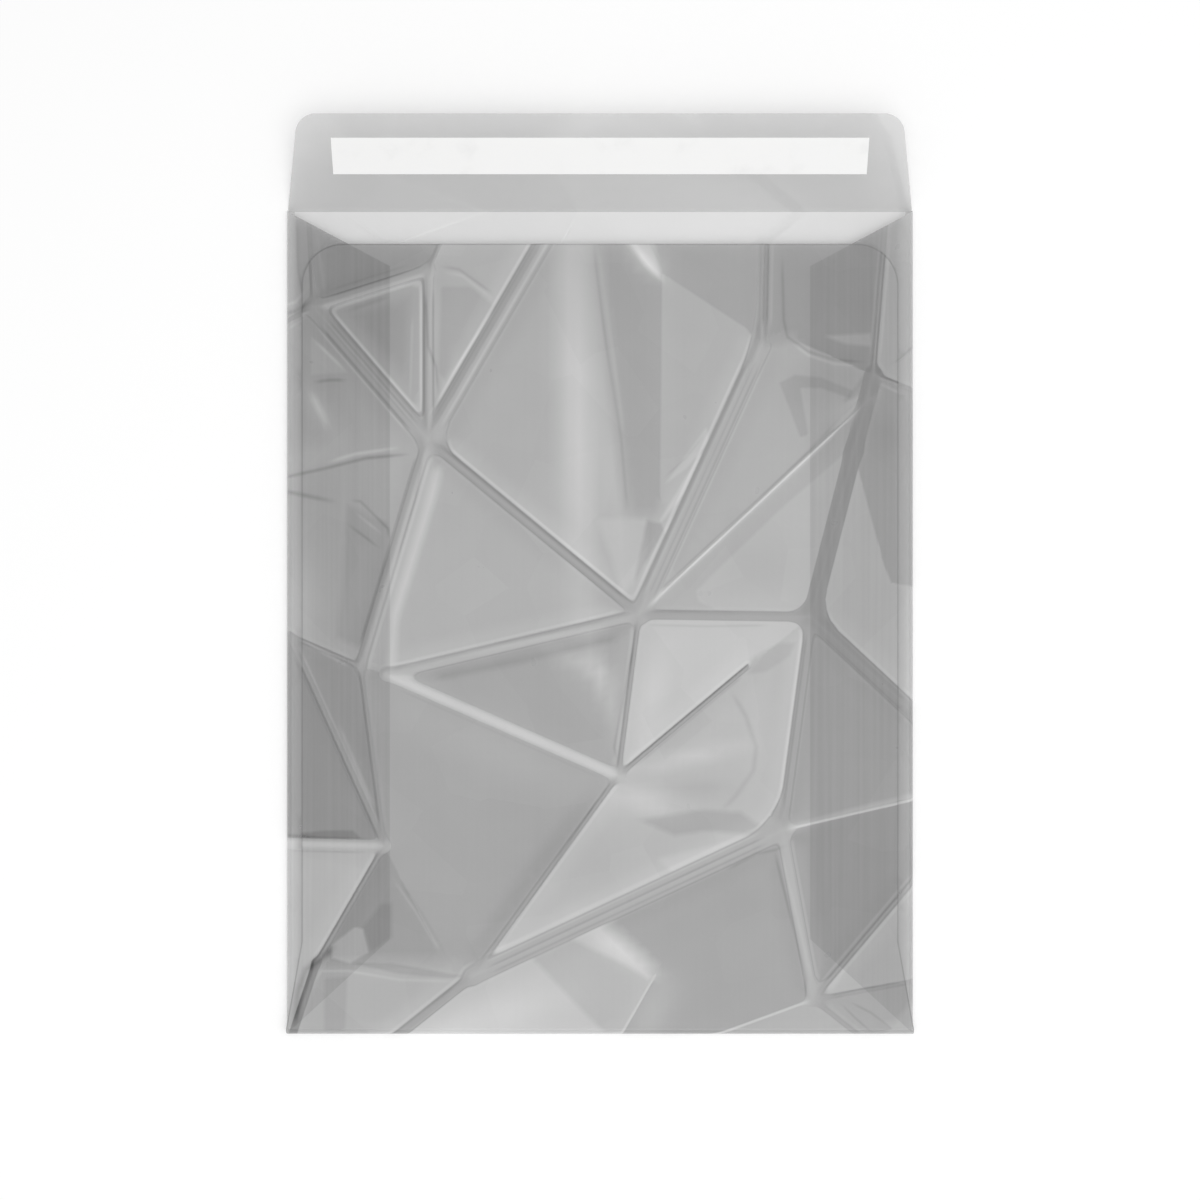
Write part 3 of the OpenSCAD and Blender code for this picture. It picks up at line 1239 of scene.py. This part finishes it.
def finish_mesh(piece: bpy.types.Object) -> None:
    """Turns a closed piece's faces outwards and smooths them, but not its edges.

    Args:
        piece: The piece.
    """
    deselect()
    piece.select_set(True)
    bpy.context.view_layer.objects.active = piece
    bpy.ops.object.mode_set(mode="EDIT")
    bpy.ops.mesh.select_all(action="SELECT")
    bpy.ops.mesh.normals_make_consistent(inside=False)
    bpy.ops.object.mode_set(mode="OBJECT")
    bpy.ops.object.shade_smooth_by_angle(angle=math.radians(40))
    piece.select_set(False)


# Finishes


@dataclass(frozen=True)
class FilmFinish:
    """The creased outer face of the film, with light and shade painted on it."""

    name: str
    alpha: float = 0.80
    gain: float = 1.25
    offset: float = -0.135
    roughness: float = 0.30
    shows_side_flaps: bool = False
    doubled: float = 0.82
    rib_period: float = 1.5 * MM

    def material(self, sizes: Sizes) -> bpy.types.Material:
        """Builds the material.

        Args:
            sizes: The envelope's sizes, for what shows through.

        Returns:
            The material.
        """
        graph = Graph(self.name)
        vector, x, y = graph.place()
        cloud = graph.mottle(vector, 38 * MM)
        fibre = graph.mottle(vector, 0.9 * MM, 3.0)
        tone = self._creased(graph, vector, cloud) * (1 + 0.10 * cloud + 0.025 * fibre)
        # The mesh's shade number paints shade and highlight onto the film
        base = (tone * self.gain + self.offset).most(0.05) * graph.attribute("shade")
        stretch = graph.node("ShaderNodeVectorMath", {"operation": "MULTIPLY"}, {0: vector, 1: (1, 0.012, 0)})
        ribs = graph.mottle(stretch.outputs[0], self.rib_period, 1.5)
        if self.shows_side_flaps:
            doubled = self._over_side_flaps(x, y, sizes)
            base = base * (1 - (1 - self.doubled) * doubled) + ribs * (0.050 * doubled + 0.012)
            # Painted shadow line along the back panel's free edges
            base = base * (1 - 0.36 * graph.attribute("edge").fall(0.2 * MM, 0.75 * MM))
        else:
            base = base + 0.040 * ribs
        return graph.dress(
            Base_Color=base.grey(),
            Roughness=0.10 * graph.mottle(vector, 9 * MM) + self.roughness,
            Alpha=self.alpha,
            Coat_Weight=0.6,
            Coat_Roughness=0.18,
            Specular_IOR_Level=0.7,
            Normal=graph.bump(fibre, 0.012 * MM),
        )

    def _creased(self, graph: Graph, vector: bpy.types.NodeSocket, cloud: Value) -> Value:
        """Painted light of the film: the facets' painted tones, the creases' painted tops, painted highlight
        and shade on their flanks, and the fine lines' painted light.

        Args:
            graph: The material's nodes.
            vector: Object coordinates.
            cloud: Slow noise about zero.

        Returns:
            The tone.
        """
        tone, inset, reach, core, crisp, facing, ink = (graph.attribute(name) for name in CARRIED[:7])
        flat_cells = {"voronoi_dimensions": "2D"}
        pane = graph.value("ShaderNodeTexVoronoi", flat_cells, {"Vector": vector, "Scale": 1 / (23 * MM)}, 1)
        tone = tone * (0.975 + 0.050 * pane)
        # Painted tone of the creases' tops, a little lighter deep inside wide tops and webs
        top = inset.fall(-0.3, 0.2) * crisp + reach.fall(0.25, 1.30) * (1 - crisp)
        core = core + 0.05 * inset.fall(-6.0, -2.0)
        tone = tone * (1 - top) + core * top
        # Painted highlight on flanks that face the light, a bright lip and a broad glow with a dark seam
        # inside the lip, and painted shade on flanks that face away, a dark edge line and a darker flank
        lit, dull = facing.most(0), (-1 * facing).most(0).least(1)
        lip = inset.rise(0.0, 0.4) * inset.fall(0.6, 1.8)
        glow = inset.rise(0.2, 1.4) * inset.fall(1.5, 9.0)
        seam = inset.rise(-1.0, -0.5) * inset.fall(-0.3, 0.1)
        edge = inset.rise(-0.6, -0.2) * inset.fall(0.1, 0.6)
        lines = lit * (0.075 * lip + 0.035 * glow - 0.045 * seam) - dull * (0.050 * edge + 0.020 * glow)
        return tone + crisp * lines + ink * (1 + 1.2 * cloud)

    @staticmethod
    def _over_side_flaps(x: Value, y: Value, sizes: Sizes) -> Value:
        """1 where the film lies over a side flap, and 0 elsewhere.

        Args:
            x: Place across the envelope.
            y: Place along it.
            sizes: The envelope's sizes.

        Returns:
            The mask.
        """
        inside = abs(x) - sizes.side_inner_x
        span = sizes.side_tangent_x - sizes.side_inner_x
        rise = sizes.side_foot_y - sizes.foot_tangent_y
        slope = sizes.side_fall / span
        half_fold = math.pi / 2 * (sizes.side_radius - sizes.film / 2)
        top = (inside - half_fold) * slope + sizes.side_top_y - y
        foot = y - sizes.side_foot_y + inside * (rise / span)
        return inside.least(top).least(foot).rise(-0.15 * MM, 0.25 * MM)


@dataclass(frozen=True)
class InnerFinish:
    """The plain inner face of the film."""

    name: str
    tone: float
    alpha: float
    roughness: float = 0.42
    shaded: bool = False

    def material(self) -> bpy.types.Material:
        """Builds the material."""
        graph = Graph(self.name)
        vector, _, _ = graph.place()
        fibre = graph.mottle(vector, 0.8 * MM, 3.0)
        cloud = graph.mottle(vector, 30 * MM)
        tone = self.tone * (1 + 0.03 * cloud + 0.02 * fibre)
        # The flap's painted shade and highlight
        if self.shaded:
            tone = tone * graph.attribute("shade")
        return graph.dress(
            Base_Color=tone.grey(),
            Roughness=0.10 * cloud + self.roughness,
            Alpha=self.alpha,
            Normal=graph.bump(fibre, 0.01 * MM),
        )


@dataclass(frozen=True)
class StripFinish:
    """A plain coated strip: liner paper, adhesive or gum."""

    name: str
    colour: tuple[float, float, float]
    roughness: float
    smudge: float
    alpha: float = 1.0
    coat: float = 0.0

    def material(self) -> bpy.types.Material:
        """Builds the material."""
        graph = Graph(self.name)
        vector, _, _ = graph.place()
        smear = graph.mottle(vector, 11 * MM, 4.0)
        fibre = graph.mottle(vector, 0.7 * MM, 2.0)
        shade = 1 - self.smudge * smear.rise(0.05, 0.30) + 0.02 * fibre
        settings = {"data_type": "RGBA", "blend_type": "MULTIPLY"}
        inputs = {0: 1.0, 6: (*self.colour, 1), 7: shade.grey()}
        mixed = graph.node("ShaderNodeMix", settings, inputs).outputs[2]
        return graph.dress(
            Base_Color=mixed,
            Roughness=0.2 * smear + self.roughness,
            Alpha=self.alpha,
            Coat_Weight=self.coat,
            Normal=graph.bump(fibre, 0.01 * MM),
        )


# Pieces


@dataclass
class FilmSheet:
    """A sheet of film: a flat blank that is creased, cut out, given its thickness and folded."""

    name: str
    sizes: Sizes
    outer: bpy.types.Material
    inner: bpy.types.Material
    spacing: float = 4 * MM

    def crease(self, piece: bpy.types.Object, net: CreaseNet, rise: PerPoint, shade: PerPoint) -> None:
        """Lifts the creases of a flat sheet and stores what its finish needs, its painted light and shade
        among them.

        Args:
            piece: The sheet, in the plan of its net.
            net: The creases.
            rise: Share of the lift that is kept at each point.
            shade: Painted shade and highlight at each point, as a factor on the film's brightness.
        """
        spots = coordinates(piece)
        carried = net.read(spots[:, :2] / MM)
        carried["shade"] = shade(spots)
        for key in CARRIED:
            write_attribute(piece, key, carried[key])
        spots[:, 2] = carried["lift"] * rise(spots)
        move_points(piece, spots)

    def close(self, piece: bpy.types.Object, folded: PerPoint, rests_on: list[str]) -> None:
        """Thickens a sheet, folds it and dresses it.

        Args:
            piece: The flat sheet, outer face up.
            folded: Takes flat points to their folded places.
            rests_on: Names of what it lies on; not used.
        """
        width, length, _ = np.ptp(coordinates(piece), axis=0)
        piece.data.materials.append(self.outer)
        piece.data.materials.append(self.inner)
        thicken(piece, self.sizes.film)
        move_points(piece, folded(coordinates(piece)))
        finish_mesh(piece)
        LOG.info("%s: %d points", piece.name, len(piece.data.vertices))


def plain(spots: np.ndarray) -> np.ndarray:
    """1 at every point."""
    return np.ones(len(spots))


def flat(spots: np.ndarray) -> np.ndarray:
    """0 at every point."""
    return np.zeros(len(spots))


@dataclass
class FrontPanel(FilmSheet):
    """The seamless side, underneath, with its creases standing on the table."""

    def build(self, net: CreaseNet) -> None:
        """Makes the panel.

        Args:
            net: The creases.
        """
        s = self.sizes
        low, high = (-s.side_tangent_x, s.foot_tangent_y), (s.side_tangent_x, s.score_y)
        piece = grid(self.name, low, high, self.spacing)
        score(piece, net)

        def rise(spots: np.ndarray) -> np.ndarray:
            """Creases die out towards the panel's edges."""
            inset = np.minimum(s.side_tangent_x - abs(spots[:, 0]), s.score_y - spots[:, 1])
            inset = np.minimum(inset, spots[:, 1] - s.foot_tangent_y)
            return ease(inset, 0, 9 * MM)

        self.crease(piece, net, rise, plain)
        most = max(kind.lift for kind in CreaseKind)

        def folded(spots: np.ndarray) -> np.ndarray:
            """Turns the sheet over, so that its creases stand on the table."""
            lifted = most * rise(spots) - spots[:, 2]
            return np.column_stack([spots[:, 0], spots[:, 1], lifted])

        self.close(piece, folded, ["floor"])
        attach(piece, "pocket")
        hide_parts("front_panel")


@dataclass
class BackPanel(FilmSheet):
    """The back panel with the soft fold at its foot."""

    def build(self, net: CreaseNet) -> None:
        """Makes the panel.

        Args:
            net: The creases.
        """
        s = self.sizes
        fold = Fold(s.foot_radius, math.pi, s.film)
        start = s.foot_tangent_y - fold.length
        piece = grid(self.name, (-s.half_width, start), (s.half_width, s.throat_y), self.spacing)
        self._cut_out(piece, fold, start)
        score(piece, net)

        def rise(spots: np.ndarray) -> np.ndarray:
            """Creases die out at the foot and are lower near the throat."""
            shut = 1 - 0.25 * ease(spots[:, 1], s.throat_y - 34 * MM, s.throat_y - 24 * MM)
            return ease(spots[:, 1], s.foot_tangent_y, s.foot_tangent_y + 12 * MM) * shut

        def shade(spots: np.ndarray) -> np.ndarray:
            """Painted highlight on the fold at the foot."""
            return 1 + 0.40 * ease(-spots[:, 1], -s.foot_tangent_y - 1 * MM, -s.foot_tangent_y + 2 * MM)

        self.crease(piece, net, rise, shade)
        # Distance from the free edges, for the painted shadow line along them
        write_attribute(piece, "edge", self._edge_distance(coordinates(piece)))

        def folded(spots: np.ndarray) -> np.ndarray:
            """Carries the film round the fold at the foot."""
            along, up = fold.place(spots[:, 1] - start, spots[:, 2])
            return np.column_stack([spots[:, 0], s.foot_tangent_y - along, up])

        self.close(piece, folded, ["left_side_flap_film", "right_side_flap_film"])
        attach(piece, "pocket")
        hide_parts("back_panel", "bottom_fold_lower", "bottom_fold_upper")

    def _cut_out(self, piece: bpy.types.Object, fold: Fold, start: float) -> None:
        """Cuts the outline and scores the rows of the fold.

        Args:
            piece: The flat sheet.
            fold: The fold at the foot.
            start: Where the fold starts.
        """
        s = self.sizes
        for i in range(1, FOLD_ROWS + 1):
            row_y = start + fold.length * i / FOLD_ROWS
            cut(piece, (0, row_y), (0, 1), False, lambda c: c.y < s.foot_tangent_y + 5 * MM)
        cut(piece, (0, s.flare_y), (0, 1), False)
        slope = s.back_inset / (s.flare_y - s.foot_tangent_y)
        for side in (-1, 1):
            cut(piece, (side * s.back_edge_x, s.flare_y), (side, slope), True, lambda c: c.y < s.flare_y)
            cut(piece, (side * s.back_edge_x, 0), (side, 0), True, lambda c: c.y > s.flare_y)
            corner = (side * (s.back_edge_x - s.back_corner), s.throat_y - s.back_corner)
            for i in range(CORNER_CUTS):
                turn = math.radians(90 * (i + 0.5) / CORNER_CUTS)
                way = (side * math.cos(turn), math.sin(turn))
                rim = tuple(c + s.back_corner * w for c, w in zip(corner, way))
                cut(piece, rim, way, True, lambda c: c.y > corner[1] - 8 * MM)

    def _edge_distance(self, spots: np.ndarray) -> np.ndarray:
        """Distance of points from the panel's free edges.

        Args:
            spots: Points of the flat sheet, one per row.

        Returns:
            One distance per point.
        """
        s = self.sizes
        x, y = abs(spots[:, 0]), spots[:, 1]
        slope = s.back_inset / (s.flare_y - s.foot_tangent_y)
        flare = np.maximum(s.flare_y - y, 0) * slope
        inset = np.minimum(s.back_edge_x + flare - x, s.throat_y - y)
        corner = (s.back_edge_x - s.back_corner, s.throat_y - s.back_corner)
        past = (x > corner[0]) & (y > corner[1])
        bend = s.back_corner - np.hypot(x - corner[0], y - corner[1])
        return np.clip(np.where(past, bend, inset), 0, 1)


@dataclass
class SideFlap(FilmSheet):
    """A side flap with its soft fold."""

    side: int = 1

    def build(self, net: CreaseNet) -> None:
        """Makes the flap.

        Args:
            net: The creases.
        """
        s = self.sizes
        fold = Fold(s.side_radius, math.pi, s.film)
        start = s.side_tangent_x + fold.length
        piece = grid(self.name, (s.side_inner_x, s.foot_tangent_y), (start, s.score_y), self.spacing)
        for i in range(1, FOLD_ROWS + 1):
            row_x = start - fold.length * i / FOLD_ROWS
            cut(piece, (row_x, 0), (1, 0), False, lambda c: c.x > s.side_tangent_x - 5 * MM)
        span = s.side_tangent_x - s.side_inner_x
        score_x = s.side_tangent_x + fold.length / 2
        cut(piece, (score_x, s.score_y), (-s.side_fall, span), True, lambda c: c.x < score_x)
        slant = (s.foot_tangent_y - s.side_foot_y, -span)
        cut(piece, (s.side_inner_x, s.side_foot_y), slant, True, lambda c: c.x < s.side_tangent_x)

        def shade(spots: np.ndarray) -> np.ndarray:
            """Painted shade beside the back panel's edge and painted highlight on the fold."""
            return 0.72 + 0.85 * ease(spots[:, 0], s.back_edge_x, s.side_tangent_x + 2.5 * MM)

        own_net = replace(net, flip=(self.side, 1))
        score(piece, own_net)
        self.crease(piece, own_net, flat, shade)

        def folded(spots: np.ndarray) -> np.ndarray:
            """Carries the film round the fold at the side."""
            along, up = fold.place(start - spots[:, 0], spots[:, 2])
            return np.column_stack([self.side * (s.side_tangent_x + along), spots[:, 1], up])

        self.close(piece, folded, ["front_panel_film"])
        word = "right" if self.side > 0 else "left"
        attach(piece, "pocket")
        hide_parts(f"{word}_side_flap", f"{word}_fold_lower", f"{word}_fold_upper")


@dataclass
class SealFlap(FilmSheet):
    """The seal flap with the crease that it turns on."""

    def build(self, net: CreaseNet) -> None:
        """Makes the flap.

        Args:
            net: The creases.
        """
        s = self.sizes
        fold = Fold(s.hinge_z, s.tilt, s.film)
        root = s.score_y + fold.length
        top = root + s.flap_length
        piece = grid(self.name, (-s.half_width, s.score_y), (s.half_width, top), self.spacing)
        for i in range(1, HINGE_ROWS + 1):
            row_y = s.score_y + fold.length * i / HINGE_ROWS
            cut(piece, (0, row_y), (0, 1), False, lambda c: c.y < root + 5 * MM)
        corner_y = s.flap_length - s.flap_corner
        corner_x = s.half_width - (s.flap_corner + corner_y * math.sin(s.flap_taper)) / math.cos(s.flap_taper)
        for side in (-1, 1):
            for i in range(CORNER_CUTS + 1):
                turn = s.flap_taper + (math.pi / 2 - s.flap_taper) * i / CORNER_CUTS
                way = (side * math.cos(turn), math.sin(turn))
                rim = (side * corner_x + s.flap_corner * way[0], root + corner_y + s.flap_corner * way[1])
                cut(piece, rim, way, True, lambda c: c.y > root)
        score(piece, net)

        def shade(spots: np.ndarray) -> np.ndarray:
            """Painted light on the raised flap: a little brighter on the crease, towards the free edge and
            towards the sides.
            """
            rise = (spots[:, 1] - root) / s.flap_length
            sides = 0.06 * ease(abs(spots[:, 0]), s.half_width - 26 * MM, s.half_width - 4 * MM)
            return 0.93 + sides + 0.07 * ease(rise, 0.35, 0.9) + 0.02 * ease(-rise, -0.2, 0)

        self.crease(piece, net, flat, shade)

        def folded(spots: np.ndarray) -> np.ndarray:
            """Carries the film round the crease."""
            along, up = fold.place(spots[:, 1] - s.score_y, spots[:, 2])
            return np.column_stack([spots[:, 0], s.score_y + along, up])

        self.close(piece, folded, ["front_panel_film"])
        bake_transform(piece)
        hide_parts("seal_flap", "flap_crease")


def dress_node(name: str, material: bpy.types.Material) -> None:
    """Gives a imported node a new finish.

    Args:
        name: The node.
        material: The finish.
    """
    node = bpy.data.objects[name]
    node.data.materials.clear()
    node.data.materials.append(material)
    LOG.info("%s: finish %s", name, material.name)


# Studio


@dataclass(frozen=True)
class Lamp:
    """A square soft lamp that faces the envelope: place and side in metres, power in watts."""

    name: str
    place: tuple[float, float, float]
    size: float
    power: float

    def hang(self) -> None:
        """Adds the lamp to the scene."""
        data = bpy.data.lights.new(self.name, "AREA")
        data.size = self.size
        data.energy = self.power
        lamp = bpy.data.objects.new(self.name, data)
        lamp.location = self.place
        lamp.rotation_euler = (-Vector(self.place)).to_track_quat("-Z", "Y").to_euler()
        bpy.context.collection.objects.link(lamp)


@dataclass(frozen=True)
class Studio:
    """Floor, lamps and camera, in metres."""

    camera_height: float = 0.6454
    camera_y: float = 0.0085
    lens_mm: float = 50.0
    floor_tone: float = 0.93
    floor_glow: float = 0.13
    world: float = 0.54
    lamps: tuple[Lamp, ...] = (
        Lamp("key", (0.25, -0.32, 1.7), 1.8, 17.5),
    )

    def build(self) -> None:
        """Sets the scene up."""
        scene = bpy.context.scene
        scene.view_settings.view_transform = "Standard"
        self._camera()
        self._floor()
        for lamp in self.lamps:
            lamp.hang()
        world = bpy.data.worlds.new("studio")
        scene.world = world
        world.use_nodes = True
        sky = world.node_tree.nodes["Background"]
        sky.inputs["Color"].default_value = (1, 1, 1, 1)
        sky.inputs["Strength"].default_value = self.world

    def _camera(self) -> None:
        """Looks straight down on the envelope."""
        data = bpy.data.cameras.new("camera")
        data.lens = self.lens_mm
        data.sensor_width = 36
        camera = bpy.data.objects.new("camera", data)
        camera.location = (0, self.camera_y, self.camera_height)
        bpy.context.collection.objects.link(camera)
        bpy.context.scene.camera = camera

    def _floor(self) -> None:
        """Lays a pale floor just under the envelope."""
        deselect()
        bpy.ops.mesh.primitive_plane_add(size=6, location=(0, 0, -0.05 * MM))
        floor = bpy.context.active_object
        floor.name = "floor"
        graph = Graph("pale_floor")
        tone = self.floor_tone
        seen = graph.node("ShaderNodeLightPath", {}, {}).outputs
        rays = [Value(graph, seen[f"Is {kind} Ray"]) for kind in ("Camera", "Glossy", "Transmission")]
        floor.data.materials.append(
            graph.dress(
                Base_Color=(tone, tone, tone, 1),
                Roughness=0.8,
                Specular_IOR_Level=0.0,
                Emission_Color=((rays[0] + rays[1] + rays[2]) * self.floor_glow).grey(),
                Emission_Strength=1.0,
            )
        )
        floor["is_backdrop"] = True


def main() -> None:
    """Builds the envelope's pieces in order and reports each."""
    logging.basicConfig(level=logging.INFO, format="%(message)s")
    sizes = Sizes.from_frame()
    Studio().build()
    net = crease_layout()
    plain_net = replace(net, strokes=[], bundles={}, webs=[])
    front_net = replace(plain_net, flip=(-1, -1))
    flap_net = replace(plain_net, flip=(-1, 1), shift=2 * sizes.score_y / MM, patches=[])
    pale = InnerFinish("inner_film", tone=0.98, alpha=0.66).material()
    # The flap's inner face is a darker copy of the front panel's inner film: painted shade for the flap
    # raised off the floor
    shaded_flap_inner = InnerFinish("flap_inner_film", tone=0.70, alpha=0.60, shaded=True).material()
    thin = InnerFinish("covered_inner_film", tone=0.80, alpha=0.20).material()
    back_film = FilmFinish("back_film", shows_side_flaps=True).material(sizes)
    film = FilmFinish("film", alpha=0.62, gain=1.10, offset=-0.055).material(sizes)
    under = FilmFinish("front_film", alpha=0.40, gain=1.61, offset=-0.29).material(sizes)
    FrontPanel("front_panel_film", sizes, under, pale).build(front_net)
    for word, side in (("left", -1), ("right", 1)):
        SideFlap(f"{word}_side_flap_film", sizes, film, thin, side=side).build(net)
    BackPanel("back_panel_film", sizes, back_film, thin).build(net)
    SealFlap("seal_flap_film", sizes, under, shaded_flap_inner).build(flap_net)
    liner = StripFinish("liner_paper", (0.95, 0.95, 0.945), 0.42, 0.05).material()
    dress_node("release_liner", liner)
    adhesive = StripFinish("adhesive", (0.84, 0.83, 0.78), 0.16, 0.10, coat=0.6).material()
    dress_node("closure_adhesive", adhesive)
    gum = StripFinish("seam_gum", (0.72, 0.71, 0.68), 0.5, 0.10, alpha=0.35).material()
    for word in ("left", "right"):
        dress_node(f"{word}_seam_glue", gum)
    boxes = {"cad": CAD_BOX, "visual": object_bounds()}
    {key: [list(corner) for corner in box] for key, box in boxes.items()}


if __name__ == "__main__":
    main()
